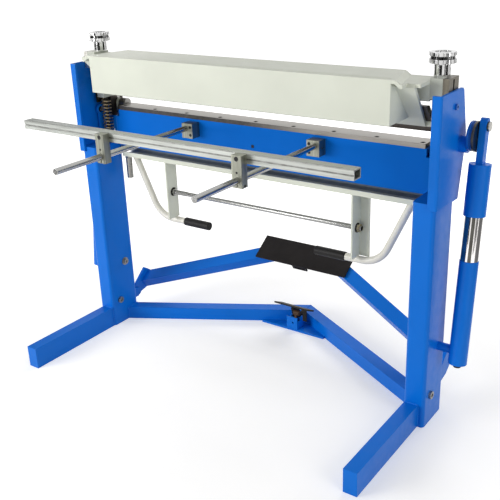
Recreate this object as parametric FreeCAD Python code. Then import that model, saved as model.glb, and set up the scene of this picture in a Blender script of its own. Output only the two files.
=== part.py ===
import FreeCAD, Part
import math
import os

# Box and pan brake for sheet metal, in millimetres. +Z is up, the floor is Z = 0, X runs along
# the bend and Y runs from the back gauge (negative) to the operator (positive). Everything is
# drawn from the rear face of the legs and moved by SHIFT_Y when it is saved, which puts the
# origin under the middle of the whole machine.

V = FreeCAD.Vector
os.makedirs("parts", exist_ok=True)

# Driving dimensions
LEG_IN, LEG_OUT = 635.0, 705.0
LEG_DEPTH = 140.0
LEG_TOP = 735.0
CAP_TOP = 743.0
LEG_WALL = 5.0
LEG_ROUND = 12.0
FOOT_IN, FOOT_OUT = 640.0, 685.0
FOOT_REACH = -400.0
FOOT_HEIGHT = 80.0
TUBE = 50.0
TUBE_WALL = 3.0
V_APEX_Y = 460.0
V_END_Y = 110.0
WEB_IN, WEB_OUT = 705.0, 713.0
PLATE_HALF = 615.0
BED_BACK, BED_FRONT = 125.0, 181.0
BED_TOP = 880.0
BED_BOTTOM = 727.0
PLATE_THICK = 14.0
SCREW_PITCH = 150.0
HINGE_Y, HINGE_Z = 181.0, 880.0
PEDAL_Y, PEDAL_Z = 172.0, 82.0
PEDAL_TILT = 34.6
PEDAL_TUBE_TALL = 44.0
PEDAL_TUBE_TOP = 6.0
PEDAL_PLATE_LOW, PEDAL_PLATE_TOP = 12.0, 18.0
PEDAL_PLATE_BACK, PEDAL_PLATE_FRONT = 282.0, 389.0
SIDE_PLATE_IN, SIDE_PLATE_OUT = 669.0, 681.0
TAIL_Y, TAIL_Z = 97.0, 62.0
BAR_IN, BAR_OUT = 689.5, 697.5
BOLT_Y, BOLT_Z = 43.0, 102.0
CRANK_Y, CRANK_Z = 150.0, 887.0
CRANK_PIN_Y, CRANK_PIN_Z = 169.0, 941.0
FRONT_PIN_Y, FRONT_PIN_Z = 184.4, 903.1
REAR_PIN_Y, REAR_PIN_Z = 104.1, 865.6
ANCHOR_Y, ANCHOR_Z = 90.0, 255.0
STRUT_X = 771.0
STRUT_LEAN = math.degrees(math.atan2(CRANK_PIN_Y - ANCHOR_Y, CRANK_PIN_Z - ANCHOR_Z))
BLOCK_IN, BLOCK_OUT = 648.0, 685.0
BLOCK_BACK, BLOCK_FRONT = 84.0, 142.0
BLOCK_HEAD_BACK, BLOCK_HEAD_FRONT = 58.0, 128.0
BLOCK_BOTTOM, BLOCK_HEAD_BOTTOM, BLOCK_TOP = 915.0, 1027.0, 1085.0
KEY_Y = 92.0
KNOB_X, KNOB_Y = 662.0, 105.0
NOSE_ANGLE = 46.3
NOSE_RUN = 206.0
WING_SLANT = 45.0
ROD_X, ROD_Z = 262.0, 840.0
RAIL_BACK, RAIL_FRONT = -302.0, -266.0
RAIL_LOW, RAIL_TOP = 883.0, 911.0
RAIL_LEFT, RAIL_RIGHT = -640.0, 610.0
ROD_R = 10.0
ROD_END = -516.5
HANDLE_R = 12.5
GRIP_R = 15.5
SPRING_R = 16.5
SPRING_WIRE = 4.5
SPRING_TURNS = 12
RUN_GAP = 0.05
SHIFT_Y = 9.2


def box(x0, x1, y0, y1, z0, z1):
    return Part.makeBox(x1 - x0, y1 - y0, z1 - z0, V(x0, y0, z0))


def rod_x(x0, x1, y, z, r):
    return Part.makeCylinder(r, x1 - x0, V(x0, y, z), V(1, 0, 0))


def rod_y(y0, y1, x, z, r):
    return Part.makeCylinder(r, y1 - y0, V(x, y0, z), V(0, 1, 0))


def rod_z(z0, z1, x, y, r):
    return Part.makeCylinder(r, z1 - z0, V(x, y, z0), V(0, 0, 1))


def prism(points, axis, low, high):
    """Solid on a closed outline; the points give the two coordinates other than the axis."""
    order = {"x": (2, 0, 1), "y": (0, 2, 1), "z": (0, 1, 2)}[axis]
    corners = []
    for a, b in points:
        triple = (a, b, low)
        corners.append(V(*[triple[k] for k in order]))
    way = V(*[high - low if name == axis else 0 for name in "xyz"])
    return Part.Face(Part.makePolygon(corners + corners[:1])).extrude(way)


def capsule_x(x0, x1, start, end, r):
    """Bar with round ends between two points of the YZ plane."""
    a = V(0, *start)
    b = V(0, *end)
    side = (b - a).cross(V(1, 0, 0)).normalize() * r
    middle = prism([(p.y, p.z) for p in (a + side, b + side, b - side, a - side)], "x", x0, x1)
    return join([middle, rod_x(x0, x1, start[0], start[1], r), rod_x(x0, x1, end[0], end[1], r)])


def hexagon_x(x0, x1, y, z, r):
    corners = [math.radians(60 * k) for k in range(6)]
    return prism([(y + r * math.cos(a), z + r * math.sin(a)) for a in corners], "x", x0, x1)


def hexagon_z(z0, z1, x, y, r):
    corners = [math.radians(60 * k) for k in range(6)]
    return prism([(x + r * math.cos(a), y + r * math.sin(a)) for a in corners], "z", z0, z1)


def join(shapes):
    return shapes[0].multiFuse(shapes[1:]).removeSplitter()


def group(shapes):
    return Part.makeCompound(shapes)


def mirror(shape):
    return shape.mirror(V(0, 0, 0), V(1, 0, 0))


def both(shape):
    return group([shape, mirror(shape)])


def turned(shape, angle, y=PEDAL_Y, z=PEDAL_Z):
    return shape.rotate(V(0, y, z), V(1, 0, 0), angle)


def rounded_box_z(x0, x1, y0, y1, z0, z1, r):
    body = box(x0, x1, y0, y1, z0, z1)
    edges = [e for e in body.Edges if abs(e.tangentAt(e.FirstParameter).z) > 0.9]
    return body.makeFillet(r, edges)


def save(name, shape):
    shape = shape.translated(V(0, SHIFT_Y, 0))
    shape.exportStep("parts/" + name + ".step")
    print(name, "solids", len(shape.Solids), "valid", shape.isValid(), "litres", round(shape.Volume / 1e6, 3))


def save_pair(name, right):
    save("right_" + name, right)
    save("left_" + name, mirror(right))


# Frame
def leg():
    shell = rounded_box_z(LEG_IN, LEG_OUT, 0, LEG_DEPTH, 0, LEG_TOP, LEG_ROUND)
    hollow = rounded_box_z(LEG_IN + LEG_WALL, LEG_OUT - LEG_WALL, LEG_WALL, LEG_DEPTH - LEG_WALL,
                           -1, LEG_TOP + 1, LEG_ROUND - LEG_WALL)
    cap = rounded_box_z(LEG_IN, LEG_OUT, 0, LEG_DEPTH, LEG_TOP, CAP_TOP, LEG_ROUND)
    cap = cap.cut(rod_z(LEG_TOP - 1, CAP_TOP + 1, KNOB_X, KNOB_Y, 8))
    cap = cap.cut(box(BAR_IN - 2, BAR_OUT + 2.5, 85, 117, LEG_TOP - 1, CAP_TOP + 1))
    body = join([shell.cut(hollow), cap])
    arm_slot = box(SIDE_PLATE_IN - 3, SIDE_PLATE_OUT + 3, LEG_DEPTH - LEG_WALL - 1, LEG_DEPTH + 1, 48, 116)
    bolt_hole = rod_x(LEG_IN - 1, LEG_OUT + 1, BOLT_Y, BOLT_Z, 8.1)
    anchor_hole = rod_x(LEG_IN - 1, LEG_OUT + 1, ANCHOR_Y, ANCHOR_Z, 14.1)
    return body.cut(arm_slot).cut(bolt_hole).cut(anchor_hole)


def foot():
    outer = box(FOOT_IN, FOOT_OUT, FOOT_REACH, 0, 0, FOOT_HEIGHT)
    inner = box(FOOT_IN + 4, FOOT_OUT - 4, FOOT_REACH + 4, 1, 4, FOOT_HEIGHT - 4)
    return outer.cut(inner)


def v_outline(half):
    rise = (V_APEX_Y - V_END_Y) / LEG_IN
    off = half * math.sqrt(1 + rise * rise)
    return [(-LEG_IN, V_END_Y - off), (0, V_APEX_Y - off), (LEG_IN, V_END_Y - off),
            (LEG_IN, V_END_Y + off), (0, V_APEX_Y + off), (-LEG_IN, V_END_Y + off)]


def v_stretcher():
    outer = prism(v_outline(TUBE / 2), "z", 0, TUBE)
    inner = prism(v_outline(TUBE / 2 - TUBE_WALL), "z", TUBE_WALL, TUBE - TUBE_WALL)
    return outer.cut(inner)


def floor_gusset():
    rise = (V_APEX_Y - V_END_Y) / LEG_IN
    inner_y = V_APEX_Y - TUBE / 2 * math.sqrt(1 + rise * rise)
    near = 341.0
    reach = (inner_y - near) / rise
    cut = 22.0
    back = near + cut * rise
    return prism([(-reach + cut, near), (reach - cut, near), (reach - cut, back), (0, inner_y),
                  (-reach + cut, back)], "z", 0, 8)


def side_channel():
    web_front = [(150, 722), (178, 855), (183, 915), (148, 1043)]
    web = prism([(-8, 727)] + web_front + [(140, 1050), (-8, 1050)], "x", WEB_IN, WEB_OUT)
    back = box(685, WEB_OUT, -8, 0, 727, 1050)
    front = prism([(150, 722), (177, 850), (169, 850), (142, 722)], "x", 688, WEB_IN)
    boss = rod_x(WEB_OUT, 736, CRANK_Y, CRANK_Z, 24)
    body = join([web, back, front, boss])
    corner = [e for e in body.Edges if e.BoundBox.XMin > WEB_OUT - 0.1 and e.BoundBox.YMax < -7.9]
    body = body.makeFillet(7, corner)
    bore = rod_x(WEB_IN - 1, 737, CRANK_Y, CRANK_Z, 12.5 + RUN_GAP)
    key_hole = rod_x(WEB_IN - 1, WEB_OUT + 1, KEY_Y, 1005, 6)
    return body.cut(bore).cut(key_hole)


def guide_key():
    key = box(692, WEB_IN, KEY_Y - 4.6, KEY_Y + 4.6, 975, 1045)
    screw = [rod_x(WEB_IN, WEB_OUT, KEY_Y, 1005, 6), rod_x(WEB_OUT, 719, KEY_Y, 1005, 9)]
    return join([key] + screw).cut(hexagon_x(714.5, 720, KEY_Y, 1005, 5))


def bed_beam():
    back = prism([(-635, 727), (635, 727), (635, 743), (650, 743), (650, 840), (620, 840), (620, 866),
                  (-620, 866), (-620, 840), (-650, 840), (-650, 743), (-635, 743)], "y", BED_BACK, 135)
    front = prism([(-635, 727), (635, 727), (635, 840), (620, 840), (620, 866),
                   (-620, 866), (-620, 840), (-635, 840)], "y", 165, 175)
    top = box(-620, 620, 135, 165, 852, 866)
    bottom = box(-635, 635, 135, 165, BED_BOTTOM, 737)
    ends = [box(635, 645, 135, 175, CAP_TOP, 840), box(-645, -635, 135, 175, CAP_TOP, 840)]
    return join([back, front, top, bottom] + ends)


def bed_screw_shapes():
    shapes = []
    for i in range(-4, 5):
        x = i * SCREW_PITCH
        head = Part.makeCone(4, 8, 4, V(x, 141, BED_TOP - 4), V(0, 0, 1))
        shapes.append(join([head, rod_z(BED_TOP - PLATE_THICK, BED_TOP - 4, x, 141, 4)]))
    return shapes


def bed_plate():
    plate = box(-PLATE_HALF, PLATE_HALF, BED_BACK, BED_FRONT, BED_TOP - PLATE_THICK, BED_TOP)
    return plate.cut(group(bed_screw_shapes()))


def hinge_bearing():
    block = prism([(150, 840), (172, 840), (181, 862), (181, 880), (164, 880), (150, 862)], "x", 624, 655)
    body = join([rod_x(624, 655, HINGE_Y, HINGE_Z, 18), block])
    return body.cut(rod_x(632, 656, HINGE_Y, HINGE_Z, 10 + RUN_GAP))


def strut_anchor():
    return rod_x(LEG_IN, STRUT_X, ANCHOR_Y, ANCHOR_Z, 14)


def leg_bolt():
    """Two socket screws on one line through the leg's side walls, and the anchor's inner screw."""
    inner = join([rod_x(627, LEG_IN, BOLT_Y, BOLT_Z, 13), rod_x(LEG_IN, 646, BOLT_Y, BOLT_Z, 8)])
    outer = join([rod_x(LEG_OUT, 713, BOLT_Y, BOLT_Z, 13), rod_x(699, LEG_OUT, BOLT_Y, BOLT_Z, 8)])
    washer = rod_x(632, LEG_IN, ANCHOR_Y, ANCHOR_Z, 16)
    head = join([washer, rod_x(625, 632, ANCHOR_Y, ANCHOR_Z, 11)])
    return [inner.cut(hexagon_x(626, 632, BOLT_Y, BOLT_Z, 7)),
            outer.cut(hexagon_x(708, 714, BOLT_Y, BOLT_Z, 7)),
            head.cut(hexagon_x(624, 629, ANCHOR_Y, ANCHOR_Z, 6))]


def pedal_lug():
    lug = join([rod_x(655, 667, PEDAL_Y, PEDAL_Z, 16), box(655, 667, LEG_DEPTH, PEDAL_Y, 62, 98)])
    return lug.cut(rod_x(658, 668, PEDAL_Y, PEDAL_Z, 10))


def pedal_pin():
    return join([rod_x(658, 684.5, PEDAL_Y, PEDAL_Z, 10), rod_x(681.5, 684.5, PEDAL_Y, PEDAL_Z, 13)])


def release_bracket():
    """U bracket on the corner plate with the lever's pin between its ears."""
    wall = box(-24, 24, 342, 347, 8, 58).cut(rod_y(341, 348, 4, 34, 4))
    pieces = [wall, rod_x(-24, 24, 380, 38, 6)]
    for x0 in (-24, 19):
        pieces.append(box(x0, x0 + 5, 342, 394, 8, 38))
        pieces.append(rod_x(x0, x0 + 5, 380, 38, 14))
    return join(pieces)


def release_buffer():
    return join([box(13, 20, 342, 347, 58, 76), rod_x(9, 33, 347, 81, 10)])


def gauge_rod():
    rod = rod_y(ROD_END, 117, ROD_X, ROD_Z, ROD_R)
    return rod.makeChamfer(1.5, [e for e in rod.Edges if e.BoundBox.YMax < ROD_END + 0.1])


def gauge_rod_block():
    body = box(233, 279, 85, BED_BACK, 806, 858).cut(rod_y(84, 117, ROD_X, ROD_Z, ROD_R))
    screws = [rod_y(84, 97, 242, z, 4.5) for z in (818, 846)]
    grub = rod_x(270, 280, 105, 832, 4)
    return body.cut(group(screws + [grub]))


# Apron, the bending leaf
def apron():
    front = prism([(-668, 690), (668, 690), (668, 858), (618, 858), (618, 867), (-618, 867),
                   (-618, 858), (-668, 858)], "y", 184, 194)
    flange = box(-600, 600, 103, 184, 694, 700)
    lip = box(-600, 600, 103, 107, 700, 711)
    ends = []
    for x0 in (656, -668):
        outline = [(164, 700), (184, 700), (184, 858), (194, 858), (198, 880), (164, 880)]
        cheek = prism(outline, "x", x0, x0 + 12)
        eye = rod_x(x0, x0 + 12, HINGE_Y, HINGE_Z, 17)
        ends.append(join([cheek, eye]).cut(rod_x(x0 - 1, x0 + 13, HINGE_Y, HINGE_Z, 10)))
    return join([front, flange, lip] + ends)


def apron_brace():
    leg_a = box(385, 391, 103, 160, 473, 694)
    leg_b = box(385, 425, 154, 160, 473, 694)
    return join([leg_a, leg_b]).cut(rod_x(384, 392, 135, 575, 8))


def tie_rod():
    """Threaded rod through both braces, with a nut on each side of every brace."""
    pieces = [rod_x(-408, 408, 135, 575, 8)]
    for x0 in (391, 373):
        pieces.append(hexagon_x(x0, x0 + 12, 135, 575, 14))
        pieces.append(hexagon_x(-x0 - 12, -x0, 135, 575, 14))
    return join(pieces)


def swept(edges, r, start, way):
    circle = Part.Wire(Part.makeCircle(r, start, way))
    return Part.Wire(edges).makePipeShell([circle], True, False)


def arc_middle(a, tangent, b):
    chord = b - a
    unit = V(chord).normalize()
    side = tangent - unit * tangent.dot(unit)
    turn = tangent.getAngle(unit)
    return a + chord * 0.5 + side.normalize() * (chord.Length / 2 * math.tan(turn / 2))


def handle():
    top = V(576, 147, 694)
    down = V(-0.42, 0, -0.907).normalize()
    corner = top + down * ((694 - 460) / 0.9075)
    bend_radius = 100.0
    cut_back = bend_radius * math.tan(down.getAngle(V(-1, 0, 0)) / 2)
    bend_start = corner - down * cut_back
    bend_end = corner + V(-cut_back, 0, 0)
    end = V(240, 147, 460)
    middle = arc_middle(bend_start, down, bend_end)
    path = [Part.makeLine(top, bend_start), Part.Arc(bend_start, middle, bend_end).toShape(),
            Part.makeLine(bend_end, end)]
    pipe = swept(path, HANDLE_R, top, down)
    above = box(540, 620, 120, 175, 694, 730)
    stub = Part.makeCylinder(HANDLE_R, 20, top, down * -1)
    return join([pipe, stub]).cut(above)


def handle_grip():
    outer = rod_x(229, 344, 147, 460, GRIP_R)
    outer = outer.makeFillet(2.5, [e for e in outer.Edges if len(e.Vertexes) == 1])
    return outer.cut(rod_x(240, 345, 147, 460, HANDLE_R))


def stop_rod():
    return join([rod_z(605, 694, -590, 124, 12), hexagon_z(684, 694, -590, 124, 13.8)])


def hinge_pin():
    return join([rod_x(634, 671, HINGE_Y, HINGE_Z, 10), rod_x(668, 671.5, HINGE_Y, HINGE_Z, 14)])


# Pedal frame. Outlines are drawn level, then tilted about the pivot.
def arm_outline(half):
    slope = 0.5017
    off = half * math.sqrt(1 + slope * slope)

    def y_at(x):
        return PEDAL_Y + 215.2 + slope * (388.8 - x)

    end = SIDE_PLATE_IN
    flat = PEDAL_Y + 345
    knee_out = 388.8 - (flat + half - PEDAL_Y - 215.2 - off) / slope
    knee_in = 388.8 - (flat - half - PEDAL_Y - 215.2 + off) / slope
    right = [(knee_in, flat - half), (end, y_at(end) - off), (end, y_at(end) + off), (knee_out, flat + half)]
    return right + [(-x, y) for x, y in reversed(right)]


def pedal_frame():
    top = PEDAL_Z + PEDAL_TUBE_TOP
    low = top - PEDAL_TUBE_TALL
    outer = prism(arm_outline(TUBE / 2), "z", low, top)
    inner = prism(arm_outline(TUBE / 2 - TUBE_WALL), "z", low + TUBE_WALL, top - TUBE_WALL)
    tubes = turned(outer.cut(inner), PEDAL_TILT)
    plate_low = PEDAL_Z + PEDAL_PLATE_LOW
    back, front = PEDAL_Y + PEDAL_PLATE_BACK + 6, PEDAL_Y + PEDAL_PLATE_FRONT - 4
    bars = [turned(box(x0, x0 + 30, back, front, top, plate_low), PEDAL_TILT) for x0 in (-60, 30)]
    sides = []
    outline = [(172, 64), (186, 64), (234, 74), (280, 106), (264, 146), (238, 163), (166, 100)]
    for x0 in (SIDE_PLATE_IN, -SIDE_PLATE_OUT):
        x1 = x0 + SIDE_PLATE_OUT - SIDE_PLATE_IN
        plate = join([rod_x(x0, x1, PEDAL_Y, PEDAL_Z, 18), prism(outline, "x", x0, x1),
                      capsule_x(x0, x1, (TAIL_Y, TAIL_Z), (PEDAL_Y, PEDAL_Z), 13)])
        sides.append(plate.cut(rod_x(x0 - 1, x1 + 1, PEDAL_Y, PEDAL_Z, 10 + RUN_GAP)))
    pins = [rod_x(SIDE_PLATE_OUT, BAR_OUT + 1, TAIL_Y, TAIL_Z, 7),
            rod_x(-BAR_OUT - 1, -SIDE_PLATE_OUT, TAIL_Y, TAIL_Z, 7)]
    return join([tubes] + sides + pins + bars)


def pedal_plate():
    """Tread plate with the catch tab of the release lever welded under its rear edge."""
    back, front = PEDAL_Y + PEDAL_PLATE_BACK, PEDAL_Y + PEDAL_PLATE_FRONT
    low, top = PEDAL_Z + PEDAL_PLATE_LOW, PEDAL_Z + PEDAL_PLATE_TOP
    plate = box(-203, 203, back, front, low, top)
    tab = box(-32, 32, back, back + 6, PEDAL_Z - 8, low)
    tab = tab.cut(box(-22, 22, back - 1, back + 7, PEDAL_Z - 3, PEDAL_Z + 5))
    return turned(join([plate, tab]), PEDAL_TILT)


def push_bar():
    """Flat bar with an eye at each end and a window that passes the strut's anchor shaft."""
    low = (96.0, TAIL_Z)
    high = (101.8, REAR_PIN_Z)
    half = 12.0
    outline = [(low[0] - half, low[1]), (low[0] + half, low[1]), (high[0] + half, high[1]),
               (high[0] - half, high[1])]
    bar = prism(outline, "x", BAR_IN, BAR_OUT)
    window_low, window_high = ANCHOR_Z - 46, ANCHOR_Z + 4
    frame = capsule_x(BAR_IN, BAR_OUT, (ANCHOR_Y + 1, window_low), (ANCHOR_Y + 1, window_high), 28)
    eyes = [rod_x(BAR_IN, BAR_OUT, low[0], low[1], 17), rod_x(BAR_IN, BAR_OUT, high[0], high[1], 19)]
    window = capsule_x(BAR_IN - 1, BAR_OUT + 1, (ANCHOR_Y, window_low), (ANCHOR_Y, window_high), 17)
    holes = [rod_x(BAR_IN - 1, BAR_OUT + 1, low[0], low[1], 10),
             rod_x(BAR_IN - 1, BAR_OUT + 1, high[0], high[1], 12)]
    return join([bar, frame] + eyes).cut(window).cut(group(holes))


def crank_shaft():
    lever = join([capsule_x(698, 704, (REAR_PIN_Y, REAR_PIN_Z), (CRANK_Y, CRANK_Z), 14),
                  capsule_x(698, 704, (CRANK_Y, CRANK_Z), (FRONT_PIN_Y, FRONT_PIN_Z), 14)])
    return join([lever, rod_x(698, 738, CRANK_Y, CRANK_Z, 12.5), rod_x(688.6, 698, REAR_PIN_Y, REAR_PIN_Z, 7),
                 rod_x(674, 698, FRONT_PIN_Y, FRONT_PIN_Z, 8)])


def crank_disc():
    disc = rod_x(738, 759, 158.6, 911.5, 44)
    groove = rod_x(745, 752, 158.6, 911.5, 45).cut(rod_x(744, 753, 158.6, 911.5, 40))
    pin = join([rod_x(759, 782, CRANK_PIN_Y, CRANK_PIN_Z, 7), rod_x(782, 789, CRANK_PIN_Y, CRANK_PIN_Z, 14)])
    return join([disc.cut(groove), pin])


# Strut on the outside of each leg, drawn upright on the anchor and then leaned
def strut_cylinder():
    body = join([rod_z(ANCHOR_Z - 40, ANCHOR_Z + 30, STRUT_X, ANCHOR_Y, 28.5),
                 rod_z(ANCHOR_Z + 30, ANCHOR_Z + 293, STRUT_X, ANCHOR_Y, 28.5)])
    body = body.cut(rod_z(ANCHOR_Z + 25, ANCHOR_Z + 288, STRUT_X, ANCHOR_Y, 25))
    body = body.cut(rod_x(740, STRUT_X + 0.5, ANCHOR_Y, ANCHOR_Z, 14 + RUN_GAP))
    return turned(body, -STRUT_LEAN, ANCHOR_Y, ANCHOR_Z)


def strut_rod():
    body = rod_z(ANCHOR_Z + 293, ANCHOR_Z + 545, STRUT_X, ANCHOR_Y, 27)
    body = body.cut(rod_z(ANCHOR_Z + 298, ANCHOR_Z + 540, STRUT_X, ANCHOR_Y, 22))
    return turned(body, -STRUT_LEAN, ANCHOR_Y, ANCHOR_Z)


def strut_sleeve():
    body = rod_z(ANCHOR_Z + 430, ANCHOR_Z + 583, STRUT_X, ANCHOR_Y, 32.5)
    body = body.cut(rod_z(ANCHOR_Z + 429, ANCHOR_Z + 575, STRUT_X, ANCHOR_Y, 27.4))
    eye_z = ANCHOR_Z + 692.5
    eye_y = ANCHOR_Y + 1.35
    arm = join([box(761, 781, ANCHOR_Y - 14, ANCHOR_Y + 14, ANCHOR_Z + 580, eye_z + 8),
                rod_x(761, 781, ANCHOR_Y, eye_z + 8, 14)])
    slot = capsule_x(760, 782, (eye_y, eye_z - 3), (eye_y, eye_z + 3), 9)
    return turned(join([body, arm]).cut(slot), -STRUT_LEAN, ANCHOR_Y, ANCHOR_Z)


# Clamp beam. The nose plate slopes down towards the operator.
def nose_point(along, out):
    """Point of the YZ plane measured along the nose plate from its upper rear corner."""
    a = math.radians(NOSE_ANGLE)
    return (-27 + along * math.cos(a) + out * math.sin(a), 1083 - along * math.sin(a) + out * math.cos(a))


def nose_strip(start, half):
    corners = [nose_point(start, 0), nose_point(NOSE_RUN, 0), nose_point(NOSE_RUN, 12), nose_point(start, 12)]
    return prism(corners, "x", -half, half)


def beam_wing():
    """Shelf from the beam's top down to the end block; its fold runs at a slant."""
    fold = [(530, 1080), (530, 1090), (545, 1090), (562, 1078), (700, 1078), (700, 1068), (558, 1068),
            (541, 1080)]
    corners = [V(x, 125, z) for x, z in fold]
    sheet = Part.Face(Part.makePolygon(corners + corners[:1])).extrude(V(WING_SLANT, -163, 0))
    return sheet.common(box(500, BLOCK_IN, -38, 125, 1060, 1092)).cut(box(610, 660, -39, -5, 1060, 1092))


def clamp_beam():
    back = box(-568, 568, -38, -28, 963, 1088)
    near, far = 545.0 + WING_SLANT, 545.0
    top = prism([(-near, -38), (near, -38), (far, 125), (-far, 125)], "z", 1080, 1090)
    tail = nose_strip(20, 636)
    for side in (-1, 1):
        tail = tail.cut(prism([(side * 636, -20), (side * 617, 116), (side * 640, 116), (side * 640, -20)],
                              "z", 900, 1075))
    front = box(-540, 540, 100, 110, 1015, 1080)
    cross = box(-BLOCK_IN, BLOCK_IN, 100, 110, 1015, 1070)
    foot_y = nose_point(166, 0)[0]
    cheek_outline = [(-38, 963), (foot_y, 963), nose_point(166, 2), nose_point(2, 2), (-38, 1086)]
    cheek = prism(cheek_outline, "x", 568, 576)
    face = box(600, BLOCK_IN, 58, 66, 1020, 1070)
    ear = box(639, BLOCK_IN, 100, 110, 958, 1070)
    right = [beam_wing(), cheek, face, ear]
    return join([back, top, nose_strip(0, 570), tail, front, cross] + right + [mirror(s) for s in right])


FINGER_WIDTHS = [115, 25, 75, 50, 125, 150, 196, 150, 125, 50, 75, 25, 115]
FINGER_GAP = 0.6


def clamp_fingers():
    root = nose_point(120, 12)
    heel = nose_point(207, 12)
    outline = [root, (88, 1003), (134, 948), (178, 915), (140, 915), heel]
    shapes = []
    x = -sum(FINGER_WIDTHS) / 2
    for width in FINGER_WIDTHS:
        shapes.append(prism(outline, "x", x + FINGER_GAP / 2, x + width - FINGER_GAP / 2))
        x += width
    bearing_room = both(box(621.5, 645, 150, 200, 900, 960))
    return group([shape.cut(bearing_room) for shape in shapes])


def on_finger(along, out):
    """Point on the finger's sloping top, measured from its upper corner."""
    run, fall = 46.0, 55.0
    length = math.hypot(run, fall)
    return (88 + (run * along + fall * out) / length, 1003 + (-fall * along + run * out) / length)


def finger_bar():
    return prism([on_finger(12, 0), on_finger(56, 0), on_finger(56, 10), on_finger(12, 10)], "x", -610, 610)


def finger_screws():
    shapes = []
    for i in range(-5, 6):
        y, z = on_finger(34, 10)
        way = V(0, 55, 46).normalize()
        shapes.append(Part.makeCylinder(9, 9, V(i * 115, y, z), way))
    return group(shapes)


def end_block():
    """Slide block of the beam: a narrow lower part and a cap that reaches back over it."""
    lower = box(BLOCK_IN, 682, BLOCK_BACK, BLOCK_FRONT, BLOCK_BOTTOM, BLOCK_HEAD_BOTTOM)
    head = box(BLOCK_IN, BLOCK_OUT, BLOCK_HEAD_BACK, BLOCK_HEAD_FRONT, BLOCK_HEAD_BOTTOM, BLOCK_TOP)
    return join([lower, head]).cut(rod_z(1050, BLOCK_TOP + 1, KNOB_X, KNOB_Y, 10 + RUN_GAP))


def spring_rod():
    return rod_z(720, BLOCK_BOTTOM, KNOB_X, KNOB_Y, 6)


def wear_plate():
    """Hardened slide on the block's outer side, grooved to run on the guide key."""
    upper = box(BLOCK_OUT, 703, BLOCK_HEAD_BACK, BLOCK_HEAD_FRONT, BLOCK_HEAD_BOTTOM, BLOCK_TOP)
    middle = box(682, 697, BLOCK_BACK - 4, BLOCK_FRONT, 970, BLOCK_HEAD_BOTTOM)
    lower = box(682, 688, BLOCK_BACK - 4, BLOCK_FRONT, 895, 970)
    key_way = box(691, 704, KEY_Y - 5, KEY_Y + 5, 969, 1080)
    return join([upper, middle, lower]).cut(key_way)


def pull_lug():
    """Lug under the beam's end with a slot for the crank's front pin and a rounded foot."""
    foot_z = 846.0
    plate = join([box(673, 687, BLOCK_FRONT, 206, foot_z, 960),
                  capsule_x(673, 687, (156, foot_z), (192, foot_z), 14)])
    return plate.cut(capsule_x(672, 688, (183.5, FRONT_PIN_Z), (189, FRONT_PIN_Z), 9.5))


def knob():
    """Twin rims with shallow finger notches and windows between them, on a slotted shank."""
    head = rod_z(1121, 1151, KNOB_X, KNOB_Y, 37.5)
    groove = rod_z(1132, 1141, KNOB_X, KNOB_Y, 38).cut(rod_z(1131, 1142, KNOB_X, KNOB_Y, 33.5))
    shank = rod_z(BLOCK_TOP, 1121, KNOB_X, KNOB_Y, 23)
    cuts = []
    for k in range(8):
        a = math.radians(45 * k + 12)
        cuts.append(rod_z(1089, 1117, KNOB_X + 24.5 * math.cos(a), KNOB_Y + 24.5 * math.sin(a), 4))
        cuts.append(rod_z(1132, 1141, KNOB_X + 33 * math.cos(a), KNOB_Y + 33 * math.sin(a), 6))
    for k in range(12):
        a = math.radians(30 * k)
        cuts.append(rod_z(1120, 1152, KNOB_X + 41 * math.cos(a), KNOB_Y + 41 * math.sin(a), 6))
    recess = rod_z(1146, 1152, KNOB_X, KNOB_Y, 22)
    stud = rod_z(1052, BLOCK_TOP, KNOB_X, KNOB_Y, 10)
    return join([head, shank, stud]).cut(groove).cut(recess).cut(group(cuts))


def helix_point(turn, low, high):
    a = 2 * math.pi * turn
    rise = (high - low) / SPRING_TURNS
    place = V(KNOB_X + SPRING_R * math.cos(a), KNOB_Y + SPRING_R * math.sin(a), low + rise * turn)
    way = V(-math.sin(a) * 2 * math.pi * SPRING_R, math.cos(a) * 2 * math.pi * SPRING_R, rise).normalize()
    return place, way


def biarc(a, way_a, b, way_b):
    gap = b - a
    both_ways = way_a + way_b
    lead = 2 * (1 - way_a.dot(way_b))
    mid_term = 2 * gap.dot(both_ways)
    d = (-mid_term + math.sqrt(mid_term ** 2 + 4 * lead * gap.dot(gap))) / (2 * lead)
    joint = (a + way_a * d + b - way_b * d) * 0.5
    joint_way = ((b - way_b * d) - (a + way_a * d)).normalize()
    return [Part.Arc(a, arc_middle(a, way_a, joint), joint).toShape(),
            Part.Arc(joint, arc_middle(joint, joint_way, b), b).toShape()]


def least_gap(edges, wire):
    """Smallest distance between the wire's surfaces at points a good part of a turn apart."""
    step = 2.0
    points = []
    for edge in edges:
        points += edge.discretize(max(3, int(edge.Length / step) + 1))[:-1]
    skip = int(math.pi * SPRING_R / step)
    gaps = []
    for i in range(len(points)):
        for j in range(i + skip, min(i + 4 * skip, len(points))):
            gaps.append(points[i].distanceToPoint(points[j]) - wire)
    return min(gaps)


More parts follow.
